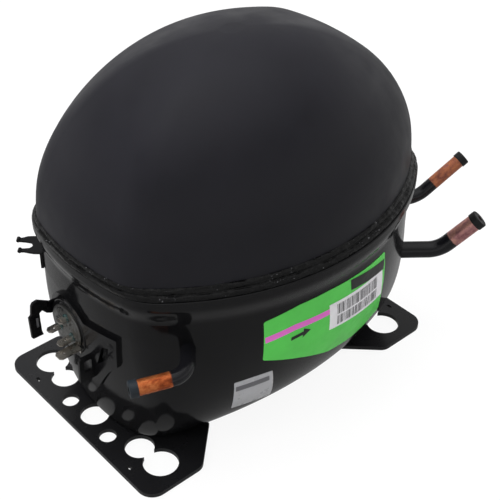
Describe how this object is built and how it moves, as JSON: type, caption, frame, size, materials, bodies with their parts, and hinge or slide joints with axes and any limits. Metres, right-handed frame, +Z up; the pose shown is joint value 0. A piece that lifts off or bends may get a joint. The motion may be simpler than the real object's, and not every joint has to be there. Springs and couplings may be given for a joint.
{
  "type": "hermetic reciprocating compressor",
  "caption": "Welded oval steel housing on two foot plates with capped tube stubs and a sealed terminal; a spring-hung motor inside drives a crank, rod and piston pump.",
  "frame": {"origin": "centre of the mounting-hole pattern, on the underside of the foot plates", "axes": "+X along the housing towards the end with the suction and discharge stubs, +Y away from the side that carries the rating label, +Z up along the crankshaft"},
  "size_m": [0.2682, 0.1718, 0.203],
  "materials": {
    "shell_gloss": "glossy black enamel",
    "shell_satin": "satin charcoal-black enamel",
    "weld": "painted weld bead, rough",
    "plate_black": "black enamel on pressed steel",
    "copper": "bare copper, dulled and mottled",
    "cap_black": "matt black rubber",
    "cap_blue": "blue-grey rubber",
    "terminal_steel": "bare pressed steel",
    "terminal_glass": "fused sealing glass",
    "pin_steel": "tinned steel",
    "bracket_black": "black enamel on pressed steel",
    "label_green": "glossy film label",
    "label_silver": "silver film label",
    "seat_steel": "pressed steel",
    "spring_steel": "drawn spring wire",
    "button_plastic": "moulded nylon",
    "lamination": "stacked electrical steel",
    "liner_film": "slot film",
    "enamel_wire": "enamelled copper wire",
    "enamel_wire_dark": "enamelled copper wire, darker",
    "bolt_steel": "plain steel",
    "cage_aluminium": "die-cast",
    "crank_iron": "ground journals on a cast blank",
    "pressed_steel": "pressed sheet",
    "washer_steel": "ground",
    "bush_steel": "ground",
    "rod_aluminium": "die-cast",
    "piston_iron": "ground skirt",
    "pin_ground": "ground",
    "lock_steel": "rolled spring steel",
    "block_iron": "as cast",
    "gasket_fibre": "compressed fibre",
    "reed_steel": "blued strip",
    "valve_steel": "surface ground",
    "head_aluminium": "die-cast",
    "muffler_plastic": "moulded, off-white",
    "line_copper": "drawn copper tube",
    "plug_plastic": "moulded",
    "lead_insulation": "sleeved wire"
  },
  "bodies": {
    "housing": {"lower_housing": "shell_gloss", "upper_housing": "shell_satin", "seam_weld": "weld", "foot_plate_near": "plate_black", "foot_plate_far": "plate_black", "suction_stub": "copper", "discharge_stub": "copper", "process_stub": "copper", "terminal_header": "terminal_steel", "terminal_glass": "terminal_glass", "terminal_pins": "pin_steel", "earth_spade": "pin_steel", "terminal_bracket": "bracket_black", "hook_clip": "bracket_black", "rating_label": "label_green", "serial_label": "label_silver", "spring_seats_lower": "seat_steel", "suspension_springs": "spring_steel", "terminal_plug": "plug_plastic", "motor_leads": "lead_insulation", "discharge_line": "line_copper"},
    "pump_unit": {"stator_core": "lamination", "slot_liners": "liner_film", "main_winding": "enamel_wire", "start_winding": "enamel_wire_dark", "stator_bolts": "bolt_steel", "spring_buttons_upper": "button_plastic", "cylinder_block": "block_iron", "discharge_muffler_cover": "pressed_steel", "discharge_muffler_bolt": "bolt_steel", "cylinder_gasket": "gasket_fibre", "suction_reed": "reed_steel", "valve_plate": "valve_steel", "head_gasket": "gasket_fibre", "discharge_reed": "reed_steel", "reed_stop": "reed_steel", "reed_rivet": "bolt_steel", "cylinder_head": "head_aluminium", "head_bolts": "bolt_steel", "suction_muffler_body": "muffler_plastic", "suction_muffler_cover": "muffler_plastic"},
    "crank": {"crankshaft": "crank_iron", "rotor_core": "lamination", "rotor_cage": "cage_aluminium", "oil_pickup": "pressed_steel", "thrust_washer": "washer_steel"},
    "bush": {"crankpin_bush": "bush_steel"},
    "piston": {"piston": "piston_iron", "connecting_rod": "rod_aluminium", "wrist_pin": "pin_ground", "wrist_pin_lock": "lock_steel"},
    "suction_cap": {"suction_cap": "cap_black"},
    "discharge_cap": {"discharge_cap": "cap_black"},
    "process_cap": {"process_cap": "cap_blue"}
  },
  "joints": [
    {"name": "suspension_bounce", "type": "slide", "parent": "housing", "child": "pump_unit", "axis": [0, 0, 1], "range_m": [-0.002, 0.002], "stiffness_N_per_m": 25000, "springref_m": 0.0025, "deforming": ["suspension_springs", "discharge_line", "motor_leads"]},
    {"name": "crank_spin", "type": "hinge", "parent": "pump_unit", "child": "crank", "pos_m": [-0.006, 0, 0.13], "axis": [0, 0, 1], "continuous": true},
    {"name": "bush_turn", "type": "hinge", "parent": "crank", "child": "bush", "pos_m": [-0.003, 0, 0.146], "axis": [0, 0, 1], "continuous": true},
    {"name": "rod_swing", "type": "hinge", "parent": "bush", "child": "piston", "pos_m": [0, 0, 0.146], "axis": [0, 0, 1], "continuous": true},
    {"name": "suction_cap_pull", "type": "slide", "parent": "housing", "child": "suction_cap", "axis": [0.5419, -0.4421, 0.7148], "range_m": [0, 0.018]},
    {"name": "discharge_cap_pull", "type": "slide", "parent": "housing", "child": "discharge_cap", "axis": [0.7539, -0.2684, 0.5997], "range_m": [0, 0.018]},
    {"name": "process_cap_pull", "type": "slide", "parent": "housing", "child": "process_cap", "axis": [-0.9255, 0.3767, -0.0395], "range_m": [0, 0.018]}
  ],
  "couplings": [
    {"joint": "bush_turn", "follows": "crank_spin", "ratio": -2},
    {"joint": "rod_swing", "follows": "crank_spin", "ratio": 1}
  ]
}
